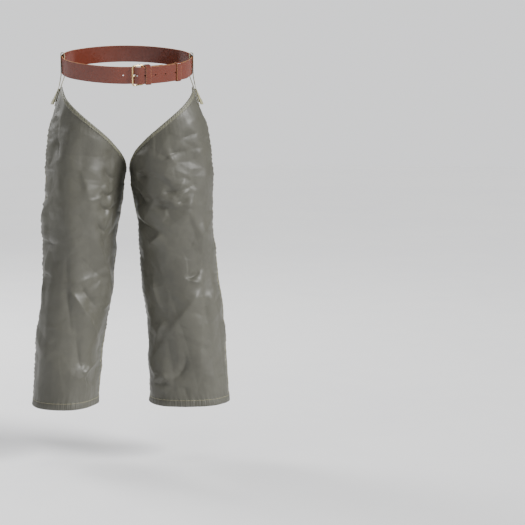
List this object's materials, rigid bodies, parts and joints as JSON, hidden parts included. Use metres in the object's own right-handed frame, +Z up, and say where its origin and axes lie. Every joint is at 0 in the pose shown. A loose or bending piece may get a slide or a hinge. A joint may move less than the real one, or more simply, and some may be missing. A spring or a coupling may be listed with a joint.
{
  "type": "belt-hung over-trouser work chaps",
  "caption": "Full-wrap coated-nylon chap legs hung by webbing loops from a leather waist belt with a brass frame buckle, worn over trousers for work in brush.",
  "frame": {"origin": "middle of the waist belt, midway between the hips and between front and back", "axes": "+Z up along the legs towards the waist, -Y towards the wearer's front, +X towards the wearer's left"},
  "size_m": [0.5466, 0.2448, 0.9731],
  "materials": {
    "coated_nylon": "thin olive-grey coated nylon with a soft shine and crisp creases",
    "binding_nylon": "folded lighter olive edge binding with fine gathers",
    "webbing": "woven khaki webbing",
    "grip_tape": "dark hook-and-loop tape",
    "belt_leather": "smooth reddish-brown leather with raw tan edges",
    "buckle_brass": "satin brass"
  },
  "bodies": {
    "belt": {"belt_strap": "belt_leather", "buckle_frame": "buckle_brass", "fixed_keeper": "belt_leather", "fold_rivet_upper": "buckle_brass", "fold_rivet_lower": "buckle_brass"},
    "prong": {"buckle_prong": "buckle_brass"},
    "keeper": {"sliding_keeper": "belt_leather"},
    "right_hanger": {"right_hanger_strap": "webbing", "right_loop_tape": "grip_tape"},
    "right_flap": {"right_flap_strap": "webbing", "right_hook_tape": "grip_tape"},
    "right_leg": {"right_front_panel": "coated_nylon", "right_back_panel": "coated_nylon", "right_side_seam": "coated_nylon", "right_inseam": "coated_nylon", "right_front_binding": "binding_nylon", "right_back_binding": "binding_nylon", "right_hem": "coated_nylon"},
    "left_hanger": {"left_hanger_strap": "webbing", "left_loop_tape": "grip_tape"},
    "left_flap": {"left_flap_strap": "webbing", "left_hook_tape": "grip_tape"},
    "left_leg": {"left_front_panel": "coated_nylon", "left_back_panel": "coated_nylon", "left_side_seam": "coated_nylon", "left_inseam": "coated_nylon", "left_front_binding": "binding_nylon", "left_back_binding": "binding_nylon", "left_hem": "coated_nylon"}
  },
  "joints": [
    {"name": "prong_lift", "type": "hinge", "parent": "belt", "child": "prong", "pos_m": [0.04177, -0.10194, -0.02846], "axis": [0, -0.2689, 0.9632], "range_deg": [0, 7]},
    {"name": "keeper_slide", "type": "slide", "parent": "belt", "child": "keeper", "axis": [0.8198, 0.5516, 0.154], "range_m": [-0.008, 0.008]},
    {"name": "right_hanger_slide", "type": "slide", "parent": "belt", "child": "right_hanger", "axis": [0, 0.9632, 0.2689], "range_m": [-0.004, 0.004]},
    {"name": "right_leg_swing", "type": "hinge", "parent": "right_hanger", "child": "right_leg", "pos_m": [-0.186, 0, -0.087], "axis": [-1, 0, 0], "range_deg": [-15, 16]},
    {"name": "right_flap_open", "type": "hinge", "parent": "right_hanger", "child": "right_flap", "pos_m": [-0.166, 0, 0.02695], "axis": [0, 1, 0], "range_deg": [0, 120]},
    {"name": "left_hanger_slide", "type": "slide", "parent": "belt", "child": "left_hanger", "axis": [0, 0.9632, 0.2689], "range_m": [-0.004, 0.004]},
    {"name": "left_leg_swing", "type": "hinge", "parent": "left_hanger", "child": "left_leg", "pos_m": [0.186, 0, -0.087], "axis": [-1, 0, 0], "range_deg": [-15, 16]},
    {"name": "left_flap_open", "type": "hinge", "parent": "left_hanger", "child": "left_flap", "pos_m": [0.166, 0, 0.02695], "axis": [0, -1, 0], "range_deg": [0, 120]}
  ]
}
